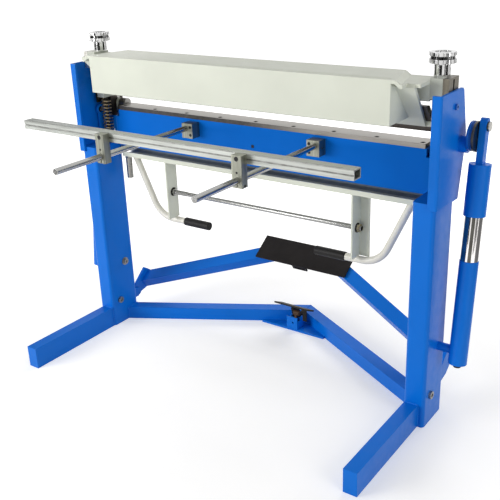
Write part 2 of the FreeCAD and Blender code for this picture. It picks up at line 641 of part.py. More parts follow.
def return_spring():
    """Open coil between the leg cap and the end block, each end standing square on its seat."""
    seat_run, bend = SPRING_WIRE, 6.0
    low, high = CAP_TOP + seat_run + bend, BLOCK_BOTTOM - seat_run - bend
    first, first_way = helix_point(0, low, high)
    last, last_way = helix_point(SPRING_TURNS, low, high)
    foot_low = V(first.x, first.y - bend, CAP_TOP)
    foot_high = foot_low + V(0, 0, seat_run)
    head_high = V(last.x, last.y + bend, BLOCK_BOTTOM)
    head_low = head_high - V(0, 0, seat_run)
    up = V(0, 0, 1)
    edges = [Part.makeLine(foot_low, foot_high)] + biarc(foot_high, up, first, first_way)
    quarters = SPRING_TURNS * 4
    for i in range(quarters):
        a, way_a = helix_point(i / 4, low, high)
        b, way_b = helix_point((i + 1) / 4, low, high)
        edges += biarc(a, way_a, b, way_b)
    edges += biarc(last, last_way, head_low, up) + [Part.makeLine(head_low, head_high)]
    print("spring's least gap to itself", round(least_gap(edges, SPRING_WIRE), 2))
    return swept(edges, SPRING_WIRE / 2, foot_low, up)


# Release lever and its foot plate
def release_lever():
    outline = [(366, 30), (372, 26), (388, 26), (394, 32), (404, 36), (424, 38), (426, 41), (426, 52),
               (419, 52), (416, 46), (402, 48), (396, 60), (386, 82), (352, 98), (346, 94)]
    lever = prism(outline, "x", -6, 6).cut(rod_x(-7, 7, 380, 38, 6 + RUN_GAP))
    plate = prism([(333, 107), (387, 81), (389.6, 86.4), (335.6, 112.4)], "x", -76, 73)
    return join([lever, plate, box(53, 70, 337, 341, 58, 106)])


# Back gauge
def gauge_rail():
    """Hollow extruded rail with two ribs along the upper rear edge and a shallow groove below."""
    wall = 3.5
    x0, x1 = RAIL_LEFT - 1, RAIL_RIGHT + 1
    rail = box(RAIL_LEFT, RAIL_RIGHT, RAIL_BACK, RAIL_FRONT, RAIL_LOW, RAIL_TOP)
    cavity = box(x0, x1, RAIL_BACK + wall, RAIL_FRONT - wall, RAIL_LOW + wall, RAIL_TOP - wall)
    grooves = [box(x0, x1, RAIL_BACK - 1, RAIL_BACK + 2, RAIL_LOW + 11, RAIL_LOW + 16)]
    for y in (3, 8, 25):
        grooves.append(box(x0, x1, RAIL_BACK + y, RAIL_BACK + y + 2, RAIL_TOP - 1.5, RAIL_TOP + 1))
    return rail.cut(cavity).cut(group(grooves))


def gauge_clamp_block():
    """Split block that grips the rod, screwed to the rail's rear face."""
    back = RAIL_BACK - 26
    block = box(244.5, 279.5, back, RAIL_BACK, 818, 911)
    bore = rod_y(back - 1, RAIL_BACK + 1, ROD_X, ROD_Z, ROD_R + RUN_GAP)
    slit = box(ROD_X - 1.5, ROD_X + 1.5, back - 1, RAIL_BACK + 1, 817, ROD_Z)
    socket = rod_y(back - 1, back + 8, ROD_X, 901, 6)
    small = rod_y(back - 1, back + 8, ROD_X, 862, 3)
    clamp_hole = rod_x(262, 281, back + 13, 824, 4)
    return block.cut(bore).cut(slit).cut(group([socket, small, clamp_hole]))


save_pair("leg", leg())
save_pair("foot", foot())
save("floor_stretcher", v_stretcher())
save("floor_gusset", floor_gusset())
save_pair("side_channel", side_channel())
save("guide_keys", both(guide_key()))
save("bed_beam", bed_beam())
save("bed_plate", bed_plate())
save("bed_screws", group(bed_screw_shapes()))
save("hinge_bearings", both(hinge_bearing()))
save("strut_anchors", both(strut_anchor()))
save("leg_bolts", both(group(leg_bolt())))
save("pedal_lugs", both(pedal_lug()))
save("pedal_pins", both(pedal_pin()))
save("release_bracket", release_bracket())
save("release_buffer", release_buffer())
save("gauge_rods", both(gauge_rod()))
save("gauge_rod_blocks", both(gauge_rod_block()))
save("apron", apron())
save("blade_bar", box(-616, 616, 183, 197, 867, 879))
save("apron_braces", both(apron_brace()))
save("tie_rod", tie_rod())
save_pair("handle", handle())
save("handle_grips", both(handle_grip()))
save("stop_rod", stop_rod())
save("hinge_pins", both(hinge_pin()))
save("pedal_frame", pedal_frame())
save("pedal_plate", pedal_plate())
save_pair("push_bar", push_bar())
save_pair("crank_shaft", crank_shaft())
save_pair("crank_disc", crank_disc())
save_pair("strut_cylinder", strut_cylinder())
save_pair("strut_rod", strut_rod())
save_pair("strut_sleeve", strut_sleeve())
save("clamp_beam", clamp_beam())
save("clamp_fingers", clamp_fingers())
save("finger_bar", finger_bar())
save("finger_screws", finger_screws())
save_pair("end_block", end_block())
save("wear_plates", both(wear_plate()))
save("pull_lugs", both(pull_lug()))
save("spring_rods", both(spring_rod()))
save_pair("knob", knob())
save_pair("return_spring", return_spring())
save("release_lever", release_lever())
save("gauge_rail", gauge_rail())
save("gauge_clamp_blocks", both(gauge_clamp_block()))
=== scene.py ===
import math

import bmesh
import bpy
from mathutils import Matrix, Vector


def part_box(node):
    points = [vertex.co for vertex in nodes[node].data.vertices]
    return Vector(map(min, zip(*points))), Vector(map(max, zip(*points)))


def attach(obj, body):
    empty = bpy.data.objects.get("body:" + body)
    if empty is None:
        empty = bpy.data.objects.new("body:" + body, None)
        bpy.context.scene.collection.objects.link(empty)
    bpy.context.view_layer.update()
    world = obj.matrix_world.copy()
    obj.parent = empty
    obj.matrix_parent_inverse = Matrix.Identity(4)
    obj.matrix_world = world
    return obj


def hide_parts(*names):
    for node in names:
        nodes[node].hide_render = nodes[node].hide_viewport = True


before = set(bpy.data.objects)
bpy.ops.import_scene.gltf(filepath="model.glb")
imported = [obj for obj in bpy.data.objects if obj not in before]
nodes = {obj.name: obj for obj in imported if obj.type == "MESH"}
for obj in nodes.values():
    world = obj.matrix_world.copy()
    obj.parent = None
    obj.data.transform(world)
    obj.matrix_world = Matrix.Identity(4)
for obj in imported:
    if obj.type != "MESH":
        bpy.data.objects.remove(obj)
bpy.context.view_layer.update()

# The frame lies this far along Y from the drawing, in metres.
SHIFT_Y = 0.0092


# Materials
NOISE_LOW, NOISE_HIGH = 0.3, 0.7  # nearly all of a noise's values lie between these
MIX_FACTOR, MIX_FLOATS, MIX_COLOURS, MIX_COLOUR_OUT = 0, (2, 3), (6, 7), 2  # sockets of a Mix node


def shade(colour, factor):
    return tuple(min(1.0, c * factor) for c in colour)


class Nodes:
    """A node tree with short calls.

    A term is a number, a node for its first output, or a pair of a node and an output.
    """

    def __init__(self, tree):
        self.tree = tree
        self.tree.nodes.clear()

    def add(self, kind, **sockets):
        node = self.tree.nodes.new(kind)
        for key, value in sockets.items():
            node.inputs[key].default_value = value
        return node

    def feed(self, term, node, into):
        if isinstance(term, (int, float)):
            node.inputs[into].default_value = term
            return
        source, out = term if isinstance(term, tuple) else (term, 0)
        self.tree.links.new(source.outputs[out], node.inputs[into])

    def math(self, operation, *terms):
        node = self.add("ShaderNodeMath")
        node.operation = operation
        for index, term in enumerate(terms):
            self.feed(term, node, index)
        return node

    def both(self, first, second):
        return self.math("MULTIPLY", first, second)

    def either(self, first, second):
        return self.math("MAXIMUM", first, second)

    def above(self, term, limit):
        return self.math("GREATER_THAN", term, limit)

    def below(self, term, limit):
        return self.math("LESS_THAN", term, limit)

    def near(self, term, centre, reach):
        return self.math("COMPARE", term, centre, reach)


class Graph(Nodes):
    """A material's nodes, with the parts that the finishes share."""

    def __init__(self, name):
        self.material = bpy.data.materials.new(name)
        self.material.use_nodes = True
        super().__init__(self.material.node_tree)
        self.out = self.add("ShaderNodeOutputMaterial")
        self.shader = self.add("ShaderNodeBsdfPrincipled")
        self.feed(self.shader, self.out, "Surface")
        self.coords = self.add("ShaderNodeTexCoord")

    def constants(self, values):
        for key, value in values.items():
            self.shader.inputs[key].default_value = value

    def noise(self, scale, detail=4.0, rough=0.55, stretch=None):
        node = self.add("ShaderNodeTexNoise", Scale=scale, Detail=detail, Roughness=rough)
        source = (self.coords, "Object")
        if stretch:
            mapping = self.add("ShaderNodeMapping", Scale=stretch)
            self.feed(source, mapping, "Vector")
            source = mapping
        self.feed(source, node, "Vector")
        return node

    def ramp(self, term, low, high):
        """Colour from low to high over a noise."""
        node = self.add("ShaderNodeValToRGB")
        ends = (NOISE_LOW, low), (NOISE_HIGH, high)
        for stop, (position, colour) in zip(node.color_ramp.elements, ends):
            stop.position = position
            stop.color = (*colour, 1)
        self.feed(term, node, "Fac")
        return node

    def fade(self, term, start, end, low, high):
        """Value from low to high as the term goes from start to end."""
        node = self.add("ShaderNodeMapRange")
        for key, value in (("From Min", start), ("From Max", end), ("To Min", low), ("To Max", high)):
            node.inputs[key].default_value = value
        self.feed(term, node, "Value")
        return node

    def roughness(self, noise, low, high):
        self.feed(self.fade(noise, NOISE_LOW, NOISE_HIGH, low, high), self.shader, "Roughness")

    def place(self, axis):
        """The surface's own X, Y or Z in metres, as a term."""
        split = self.add("ShaderNodeSeparateXYZ")
        self.feed((self.coords, "Object"), split, "Vector")
        return split, axis

    def aside(self):
        """Distance from the middle of the machine, as a term."""
        return self.math("ABSOLUTE", self.place("X"))

    def overlay(self, mask, colour, metallic=None, rough=None, drift=0.3):
        """Another finish where the mask is one."""
        fed = {link.to_socket.name: link.from_socket
               for link in self.tree.links if link.to_node == self.shader}
        tint = self.ramp(self.noise(60.0), shade(colour, 1 - drift), shade(colour, 1 + drift))
        mix = self.add("ShaderNodeMix")
        mix.data_type = "RGBA"
        self.feed(mask, mix, MIX_FACTOR)
        self.tree.links.new(fed["Base Color"], mix.inputs[MIX_COLOURS[0]])
        self.feed(tint, mix, MIX_COLOURS[1])
        self.feed((mix, MIX_COLOUR_OUT), self.shader, "Base Color")
        if metallic is not None:
            before = self.shader.inputs["Metallic"].default_value
            share = self.math("MULTIPLY_ADD", mask, metallic - before, before)
            self.feed(share, self.shader, "Metallic")
        if rough is not None:
            worn = self.add("ShaderNodeMix")
            self.feed(mask, worn, MIX_FACTOR)
            self.tree.links.new(fed["Roughness"], worn.inputs[MIX_FLOATS[0]])
            self.feed(rough, worn, MIX_FLOATS[1])
            self.feed(worn, self.shader, "Roughness")

    def bump(self, noise, strength, distance, edge):
        """Relief from a noise over edges rounded by the given radius."""
        bevel = self.add("ShaderNodeBevel", Radius=edge)
        bevel.samples = 6
        node = self.add("ShaderNodeBump", Strength=strength, Distance=distance)
        self.feed(noise, node, "Height")
        self.feed(bevel, node, "Normal")
        self.feed(node, self.shader, "Normal")


def painted(name, colour, rough, coat, gloss):
    """Sprayed enamel: slow colour drift, faint orange peel and dust in the gloss."""
    g = Graph(name)
    g.feed(g.ramp(g.noise(3.5, 3.0), shade(colour, 0.94), shade(colour, 1.05)), g.shader, "Base Color")
    g.roughness(g.noise(38.0, 5.0), rough - 0.05, rough + 0.08)
    g.bump(g.noise(420.0, 2.0), 0.10, 0.0004, 0.0016)
    g.constants({"Specular IOR Level": gloss, "Coat Weight": coat, "Coat Roughness": 0.15})
    return g


def metal(name, colour, rough, stretch=(1, 1, 1), grain=160.0, depth=0.12, drift=0.12):
    """Bare metal with a directional machining grain."""
    g = Graph(name)
    lines = g.noise(grain, 4.0, 0.6, stretch)
    g.feed(g.ramp(lines, shade(colour, 1 - drift), shade(colour, 1 + drift)), g.shader, "Base Color")
    g.roughness(lines, rough - 0.06, rough + 0.08)
    g.bump(lines, depth, 0.0003, 0.0008)
    g.constants({"Metallic": 1.0})
    return g


def moulded(name, colour, rough, grain=260.0, depth=0.35, gloss=0.3):
    """Rubber or crinkle-coated surface."""
    g = Graph(name)
    crinkle = g.noise(grain, 3.0)
    g.feed(g.ramp(g.noise(14.0), shade(colour, 0.8), shade(colour, 1.25)), g.shader, "Base Color")
    g.roughness(crinkle, rough - 0.06, rough + 0.1)
    g.bump(crinkle, depth, 0.0006, 0.001)
    g.constants({"Specular IOR Level": gloss})
    return g


# Stretch of a grain that runs along one axis
ALONG_X = (0.03, 1, 1)
ALONG_Y = (1, 0.03, 1)
ALONG_Z = (1, 1, 0.03)

FINISHES = {
    "blue": painted("blue_enamel", (0.0008, 0.158, 0.660), rough=0.34, coat=0.04, gloss=0.16),
    "bed_blue": painted("bed_enamel", (0.0003, 0.148, 0.640), rough=0.4, coat=0.0, gloss=0.05),
    "disc": painted("disc_enamel", (0.0010, 0.110, 0.480), rough=0.3, coat=0.10, gloss=0.3),
    "cream": painted("cream_enamel", (0.700, 0.725, 0.625), rough=0.42, coat=0.10, gloss=0.3),
    "handle": painted("handle_enamel", (0.790, 0.770, 0.690), rough=0.36, coat=0.2, gloss=0.4),
    "grey": painted("grey_enamel", (0.520, 0.540, 0.470), rough=0.42, coat=0.1, gloss=0.3),
    "release": painted("black_enamel", (0.014, 0.013, 0.013), rough=0.5, coat=0.0, gloss=0.12),
    "bed": metal("ground_bed_steel", (0.40, 0.38, 0.35), 0.34, ALONG_X),
    "dark": metal("oiled_finger_steel", (0.10, 0.088, 0.080), 0.38, ALONG_X),
    "bolt": metal("zinc_bolt", (0.30, 0.295, 0.28), 0.3, grain=90.0),
    "oxide": metal("blackened_screw", (0.030, 0.028, 0.027), 0.35, grain=90.0),
    "key": metal("guide_key_steel", (0.30, 0.295, 0.28), 0.3, grain=90.0),
    "chrome": metal("hard_chrome", (0.74, 0.72, 0.71), 0.06, ALONG_Z, grain=200.0, depth=0.02),
    "rod": metal("drawn_rod_steel", (0.44, 0.44, 0.43), 0.2, ALONG_Y, grain=200.0, depth=0.05),
    "cross_rod": metal("plated_tie_rod", (0.36, 0.36, 0.35), 0.2, ALONG_X, grain=200.0, depth=0.05),
    "upright": metal("bright_bar_steel", (0.42, 0.41, 0.40), 0.3, ALONG_Z),
    "slide": metal("hardened_slide", (0.17, 0.155, 0.125), 0.36, ALONG_Z, depth=0.1),
    "spring": metal("oiled_spring_wire", (0.40, 0.32, 0.21), 0.3, grain=120.0),
    "rail": metal("anodised_rail", (0.42, 0.435, 0.41), 0.40, ALONG_X, grain=240.0, depth=0.05),
    "block": metal("milled_block", (0.275, 0.280, 0.235), 0.36, ALONG_Z, grain=140.0, drift=0.3),
    "knob": metal("polished_knob", (0.72, 0.72, 0.72), 0.07, grain=60.0, depth=0.03),
    "black": moulded("black_tread", (0.016, 0.014, 0.014), 0.6, grain=300.0, depth=0.5, gloss=0.12),
    "grip": moulded("black_grip", (0.014, 0.013, 0.013), 0.45, grain=500.0, depth=0.2, gloss=0.2),
    "plug": moulded("black_plug", (0.012, 0.012, 0.014), 0.45, grain=300.0, depth=0.15),
    "rubber": moulded("brown_rubber", (0.060, 0.030, 0.014), 0.6),
}

# Finishes that change over one piece, by the place on it, in the frame's metres; several of them are
# painted shade, painted light and painted reflection
KNOB_AXIS = (0.662, 0.105 + SHIFT_Y)
KNOB_WINDOWS = 5
KNOB_WINDOW_ANGLE = math.radians(67.9)
KNOB_BRIDGE = 0.6  # darkness between the windows, as a share of theirs
KNOB_GROOVE = (1.1365, 0.0047, 0.0346)  # middle height, half its height and outer radius
KNOB_NECK = (1.1210, 0.0006, 0.0371)
KNOB_SLOTS = (1.1206, 0.0224)  # top and outer radius
PIN_HEAD = 0.7860
DISC_FLANGE = 0.7515
CHANNEL_WEB = 0.7052
BEAM_LOWER_EDGE = 0.985
ROD_INNER_SIDE = 0.7690
ROD_REFLECTION_STREAK = (0.7790, 0.0048)
FOLD_Y = (0.1778, 0.0168)
FOLD_Z = (0.7173, 0.0178)
BLOCK_TOP = 1.0845
BEAM_TOP = 1.0895
NUT_INNER, NUT_OUTER, NUT_HALF = 0.379, 0.397, 0.0062


def knob_cavity_shade(g):
    """Painted shade: dark in the windows between the rims, in the shank's slots and under the head."""
    z = g.place("Z")
    aside = g.math("SUBTRACT", g.aside(), KNOB_AXIS[0])
    behind = g.math("SUBTRACT", g.place("Y"), KNOB_AXIS[1])
    square = g.math("ADD", g.both(aside, aside), g.both(behind, behind))
    reach = g.math("SQRT", square)
    turn = g.math("MULTIPLY_ADD", g.math("ARCTAN2", behind, aside), KNOB_WINDOWS,
                  KNOB_WINDOWS * KNOB_WINDOW_ANGLE)
    window = g.above(g.math("COSINE", turn), 0.15)
    depth = g.math("MULTIPLY_ADD", window, 1 - KNOB_BRIDGE, KNOB_BRIDGE)
    groove = g.both(g.near(z, *KNOB_GROOVE[:2]), g.below(reach, KNOB_GROOVE[2]))
    neck = g.both(g.near(z, *KNOB_NECK[:2]), g.below(reach, KNOB_NECK[2]))
    slots = g.both(g.below(z, KNOB_SLOTS[0]), g.below(reach, KNOB_SLOTS[1]))
    g.overlay(g.either(g.either(g.both(groove, depth), slots), neck), (0.025, 0.025, 0.025))


def plate_edge(g):
    """The bed plate's rear edge is darker, and less so at its right."""
    edge = g.below(g.place("Y"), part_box("bed_plate")[0][1] + 0.0006)
    right_fade = g.fade(g.place("X"), -0.05, 0.30, 1.0, 0.35)
    g.overlay(g.both(edge, right_fade), (0.050, 0.047, 0.045), metallic=0.6, rough=0.5)


def disc_rim(g):
    """The crank disc's outer flange is dark bare steel and the pin's head is bright."""
    g.overlay(g.above(g.aside(), DISC_FLANGE), (0.085, 0.078, 0.066), metallic=1.0, rough=0.3)
    g.overlay(g.above(g.aside(), PIN_HEAD), (0.46, 0.45, 0.42))


def key_heads(g):
    """The guide keys' screw heads were painted over with the channels."""
    g.overlay(g.above(g.aside(), CHANNEL_WEB), (0.0010, 0.105, 0.450), metallic=0.0, rough=0.35)


def left_slide(g):
    """The left wear plates are lighter, and painted shade darkens them below the beam."""
    left = g.below(g.place("X"), 0.0)
    g.overlay(left, (0.55, 0.54, 0.50))
    # painted shade: dark below the beam, where the beam's shadow falls
    shaded_low = g.both(left, g.below(g.place("Z"), BEAM_LOWER_EDGE))
    g.overlay(shaded_low, (0.030, 0.030, 0.022), metallic=1.0, rough=0.5)


def rod_foot_shade(g):
    """Painted shade: the spring rods are dark below the beam, inside the springs."""
    low = g.below(g.place("Z"), BEAM_LOWER_EDGE)
    g.overlay(low, (0.040, 0.038, 0.032), metallic=1.0, rough=0.5)


def rod_reflection(g):
    """Painted reflection: the strut rods are darker on the side towards the legs, with a dark streak,
    standing for the legs' reflection.
    """
    g.overlay(g.below(g.aside(), ROD_INNER_SIDE), (0.30, 0.29, 0.28))
    g.overlay(g.near(g.aside(), *ROD_REFLECTION_STREAK), (0.095, 0.093, 0.084))


def rail_groove_shade(g):
    """Painted shade lies in the rail's grooves, one behind and three above."""
    low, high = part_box("gauge_rail")
    behind = g.near(g.place("Y"), low[1] + 0.0017, 0.0008)
    above = g.near(g.place("Z"), high[2] - 0.0012, 0.0007)
    g.overlay(g.either(behind, above), (0.240, 0.243, 0.230), metallic=1.0, rough=0.5)


def apron_fold_shade(g):
    """Painted shade in the fold between the apron's face and its flange."""
    fold = g.both(g.near(g.place("Y"), *FOLD_Y), g.near(g.place("Z"), *FOLD_Z))
    g.overlay(fold, (0.23, 0.27, 0.31), drift=0.1)


def block_top_light(g):
    """Painted light: the left end block's top is as pale as the beam's left end."""
    top = g.both(g.below(g.place("X"), 0.0), g.above(g.place("Z"), BLOCK_TOP))
    g.overlay(top, (0.90, 0.92, 0.80), drift=0.03)


def beam_top_light(g):
    """Painted light: the beam's top is palest at its left end."""
    top = g.above(g.place("Z"), BEAM_TOP)
    pale = g.fade(g.place("X"), -0.10, -0.60, 0.0, 1.0)
    g.overlay(g.both(top, pale), (0.94, 0.96, 0.85), drift=0.03)


def tie_nuts(g):
    """Painted shade darkens the nuts left of each brace, on their shaded side, and the one at the far
    right is brassy.
    """
    x = g.place("X")
    # painted shade on the nuts' shaded side
    dark = g.either(g.near(x, NUT_INNER, NUT_HALF), g.near(x, -NUT_OUTER, NUT_HALF))
    g.overlay(dark, (0.040, 0.036, 0.030))
    g.overlay(g.near(x, NUT_OUTER, NUT_HALF), (0.52, 0.44, 0.30))


for change, finish in ((knob_cavity_shade, "knob"), (plate_edge, "bed"), (disc_rim, "disc"),
                       (key_heads, "key"), (left_slide, "slide"), (rod_foot_shade, "upright"),
                       (rod_reflection, "chrome"), (beam_top_light, "cream"), (apron_fold_shade, "cream"),
                       (block_top_light, "grey"), (rail_groove_shade, "rail"), (tie_nuts, "cross_rod")):
    change(FINISHES[finish])
MATERIALS = {key: finish.material for key, finish in FINISHES.items()}

NODE_MATERIALS = {
    "blue": ["left_leg", "right_leg", "left_foot", "right_foot", "floor_stretcher", "floor_gusset",
             "left_side_channel", "right_side_channel", "pedal_frame", "pedal_lugs", "release_bracket",
             "left_strut_sleeve", "right_strut_sleeve", "left_strut_cylinder", "right_strut_cylinder",
             "strut_anchors", "left_push_bar", "right_push_bar"],
    "bed_blue": ["bed_beam"],
    "disc": ["left_crank_disc", "right_crank_disc"],
    "cream": ["clamp_beam", "apron", "apron_braces"],
    "handle": ["left_handle", "right_handle"],
    "grey": ["left_end_block", "right_end_block"],
    "bed": ["bed_plate", "blade_bar", "finger_bar"],
    "dark": ["clamp_fingers", "pull_lugs", "bed_screws"],
    "bolt": ["leg_bolts", "finger_screws", "hinge_pins", "pedal_pins", "stop_rod", "hinge_bearings"],
    "key": ["guide_keys"],
    "chrome": ["left_strut_rod", "right_strut_rod"],
    "rod": ["gauge_rods"],
    "cross_rod": ["tie_rod", "left_crank_shaft", "right_crank_shaft"],
    "upright": ["spring_rods"],
    "slide": ["wear_plates"],
    "spring": ["left_return_spring", "right_return_spring"],
    "rail": ["gauge_rail"],
    "block": ["gauge_clamp_blocks", "gauge_rod_blocks"],
    "knob": ["left_knob", "right_knob"],
    "black": ["pedal_plate"],
    "grip": ["handle_grips"],
    "rubber": ["release_buffer"],
    "release": ["release_lever"],
}


def dress(node, material):
    mesh = nodes[node].data
    mesh.materials.clear()
    mesh.materials.append(material)


for key, names in NODE_MATERIALS.items():
    for name in names:
        dress(name, MATERIALS[key])


# Pieces, in the drawing's millimetres
X_AXIS, Y_AXIS, Z_AXIS = Vector((1, 0, 0)), Vector((0, 1, 0)), Vector((0, 0, 1))
SIDES = (("left", -1), ("right", 1))
FULL_TURN = 2 * math.pi
SHARP_ANGLE = math.radians(35)


def place(x, y, z):
    """The drawing's millimetres as the frame's metres."""
    return Vector((x / 1000, y / 1000 + SHIFT_Y, z / 1000))


def across(axis):
    """Two unit vectors square to the axis and to each other."""
    helper = Z_AXIS if abs(axis.z) < 0.9 else X_AXIS
    first = axis.cross(helper).normalized()
    return first, axis.cross(first).normalized()


def ring_point(centre, axes, radius, angle):
    """Point of a circle about the centre, which is in metres; the radius is in millimetres."""
    reach = radius / 1000
    return centre + axes[0] * (reach * math.cos(angle)) + axes[1] * (reach * math.sin(angle))


def hex_reach(angle):
    """Distance to a hexagon's edge, as a share of the distance to its corner."""
    part = angle % (math.pi / 3) - math.pi / 6
    return math.cos(math.pi / 6) / math.cos(part)


class Shape:
    """Vertices and faces gathered for one piece."""

    def __init__(self):
        self.verts = []
        self.faces = []

    def loft(self, rings):
        """Skin over rings of equally many points, closed at both ends."""
        first = len(self.verts)
        count = len(rings[0])
        for ring in rings:
            self.verts += [tuple(p) for p in ring]
        for i in range(len(rings) - 1):
            for j in range(count):
                k = (j + 1) % count
                low, high = first + i * count, first + (i + 1) * count
                self.faces.append((low + j, low + k, high + k, high + j))
        self.faces.append(tuple(first + j for j in reversed(range(count))))
        last = first + (len(rings) - 1) * count
        self.faces.append(tuple(last + j for j in range(count)))

    def turned(self, start, axis, stations, count=24):
        """Turned form: stations are (along, radius, is_hexagon) in millimetres."""
        axes = across(axis)
        angles = [FULL_TURN * j / count for j in range(count)]
        rings = []
        for along, radius, six in stations:
            centre = start + axis * (along / 1000)
            rings.append([ring_point(centre, axes, radius * (hex_reach(a) if six else 1), a)
                          for a in angles])
        self.loft(rings)

    def screw(self, start, axis, radius, height, socket):
        """Socket head with a chamfered rim and a hexagon recess."""
        rim = min(1.0, height * 0.2)
        self.turned(start, axis, [(0, radius, 0), (height - rim, radius, 0), (height, radius - rim, 0),
                                  (height, socket * 1.1, 0), (height - 0.3, socket, 1),
                                  (height * 0.35, socket, 1)])

    def bead(self, points, radius):
        """Weld bead: a round run along the points with overlapping ripples and tapered ends."""
        per_ripple, pitch, sides = 4, 3.2, 10
        angles = [FULL_TURN * j / sides for j in range(sides)]
        for a, b in zip(points, points[1:]):
            steps = max(2, int((b - a).length * 1000 / pitch * per_ripple))
            axes = across((b - a).normalized())
            rings = []
            for i in range(steps + 1):
                ripple = abs(math.sin(math.pi * i / per_ripple + 0.4))
                wander = 0.25 * math.sin(i * 0.37) + 0.15 * math.sin(i * 1.13 + 1)
                taper = min(1.0, 0.35 + min(i, steps - i) * 0.3)
                thick = radius * (0.84 + 0.16 * ripple + 0.05 * wander) * taper
                centre = a + (b - a) * (i / steps)
                rings.append([ring_point(centre, axes, thick, angle) for angle in angles])
            self.loft(rings)

    def thread(self, start, axis, length, root, crest, pitch):
        """Screw thread, as one skin whose radius goes up and down along a helix."""
        per_pitch, count = 6, 24
        axes = across(axis)
        steps = int(length / pitch * per_pitch)
        rings = []
        for i in range(steps + 1):
            along = length * i / steps
            centre = start + axis * (along / 1000)
            ring = []
            for j in range(count):
                phase = (along / pitch - j / count) % 1.0
                radius = root + (crest - root) * (1 - abs(2 * phase - 1))
                ring.append(ring_point(centre, axes, radius, FULL_TURN * j / count))
            rings.append(ring)
        self.loft(rings)


def piece(name, shape, material, body, replaces=None):
    """Makes the shape an object that rides on a body, and perhaps stands for a node."""
    mesh = bpy.data.meshes.new(name)
    mesh.from_pydata(shape.verts, [], shape.faces)
    mesh.validate()
    work = bmesh.new()
    work.from_mesh(mesh)
    bmesh.ops.recalc_face_normals(work, faces=work.faces)
    work.to_mesh(mesh)
    work.free()
    mesh.shade_smooth()
    mesh.set_sharp_from_angle(angle=SHARP_ANGLE)
    mesh.materials.append(MATERIALS[material])
    item = bpy.data.objects.new(name, mesh)
    bpy.context.scene.collection.objects.link(item)
    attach(item, body)
    if replaces:
        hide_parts(replaces)


# Screws
BED_SCREW_PITCH = 150
FINGER_SCREW_PITCH = 115
NOSE_DEPTH, NOSE_FALL = 46.0, 55.0  # run and fall of the beam's sloping nose plate


def bed_screws():
    """Countersunk screws with a hexagon recess, in black that also stands for the shade in their
    counterbores.
    """
    shape = Shape()
    profile = [(0, 4, 0), (10, 4, 0), (13.2, 7.2, 0), (13.2, 4.6, 0), (13.0, 4.2, 1), (8.5, 4.2, 1)]
    for i in range(-4, 5):
        shape.turned(place(i * BED_SCREW_PITCH, 141, 866), Z_AXIS, profile)
    piece("bed_screw_heads", shape, "plug", "frame", "bed_screws")


def finger_screws():
    """Socket heads square to the nose plate, 34 mm down it and 10 mm out of its line."""
    shape = Shape()
    down, out = 34, 10
    length = math.hypot(NOSE_DEPTH, NOSE_FALL)
    way = Vector((0, NOSE_FALL, NOSE_DEPTH)).normalized()
    y = 88 + (NOSE_DEPTH * down + NOSE_FALL * out) / length
    z = 1003 + (-NOSE_FALL * down + NOSE_DEPTH * out) / length
    for i in range(-5, 6):
        shape.screw(place(i * FINGER_SCREW_PITCH, y, z), way, 9, 9, 4.5)
    piece("finger_screw_heads", shape, "oxide", "clamp_beam", "finger_screws")


def block_screws():
    """Countersunk socket screws in the gauge's blocks, with dark rims that are painted shade around
    their holes.
    """
    gauge, bed = Shape(), Shape()
    gauge_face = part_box("gauge_clamp_blocks")[0][1] - SHIFT_Y
    bed_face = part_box("gauge_rod_blocks")[0][1] - SHIFT_Y

    # the dark rim stands for the shade in and around the hole
    def sunk(shape, start, radius):
        shape.turned(start, -Y_AXIS, [(-0.4, radius, 0), (0.3, radius - 0.2, 0), (0.3, radius * 0.7, 0),
                                      (-1.2, radius * 0.6, 1), (-2.0, radius * 0.3, 0)])

    for _, side in SIDES:
        sunk(gauge, place(side * 262, gauge_face * 1000, 901), 7.0)
        sunk(gauge, place(side * 262, gauge_face * 1000, 862), 3.6)
        gauge.screw(place(side * 273, -315, 824), X_AXIS * side, 3.7, 4, 2.2)
        for z in (818, 846):
            sunk(bed, place(side * 242, bed_face * 1000, z), 5.6)
        bed.screw(place(side * 271, 105, 832), X_AXIS * side, 3.7, 5, 2.2)
    piece("gauge_block_screws", gauge, "plug", "back_gauge")
    piece("bed_block_screws", bed, "plug", "frame")


bed_screws()
finger_screws()
block_screws()


# Weld beads
LEG_IN, LEG_OUT = 635, 705  # the leg's inner and outer face
TUBE_TOP, FOOT_TOP = 50, 80
V_END_Y, V_APEX_Y = 110, 460
V_SLOPE = (V_APEX_Y - V_END_Y) / LEG_IN
V_HALF = 25 * math.sqrt(1 + V_SLOPE * V_SLOPE)  # half of the stretcher's width, measured along Y
GUSSET_REAR_Y, GUSSET_BEAD_START = 341, 22
BRACE_FOOT_Z = 693.5


def frame_welds():
    """Beads of the feet, the stretcher's ends and apex, the legs' caps and the corner plate."""
    shape = Shape()
    for _, side in SIDES:
        inner, outer = side * (LEG_IN + 5), side * (LEG_OUT - 20)
        shape.bead([place(inner, -1, 0.5), place(inner, -1, FOOT_TOP),
                    place(outer, -1, FOOT_TOP), place(outer, -1, 0.5)], 3.2)
        face = side * (LEG_IN - 0.5)
        shape.bead([place(face, V_END_Y - V_HALF, 1), place(face, V_END_Y - V_HALF, TUBE_TOP),
                    place(face, 139, TUBE_TOP)], 3.2)
        face = side * (LEG_OUT - 0.5)
        shape.bead([place(face, 2, 727), place(face, 138, 727)], 2.4)
        face = side * (LEG_IN + 1)
        shape.bead([place(face, 125, 744), place(face, 125, 838)], 2.2)
    corner, crest = V_APEX_Y - V_HALF, V_APEX_Y + V_HALF
    reach = (corner - GUSSET_REAR_Y) / V_SLOPE - GUSSET_BEAD_START
    rear = GUSSET_REAR_Y + GUSSET_BEAD_START * V_SLOPE
    for _, side in SIDES:
        shape.bead([place(side * reach, rear + 1, 8), place(0, corner, 8)], 2.6)
    shape.bead([place(0, corner, 9), place(0, corner, TUBE_TOP)], 2.6)
    shape.bead([place(0, corner, TUBE_TOP), place(0, crest, TUBE_TOP)], 2.0)
    piece("frame_welds", shape, "blue", "frame")


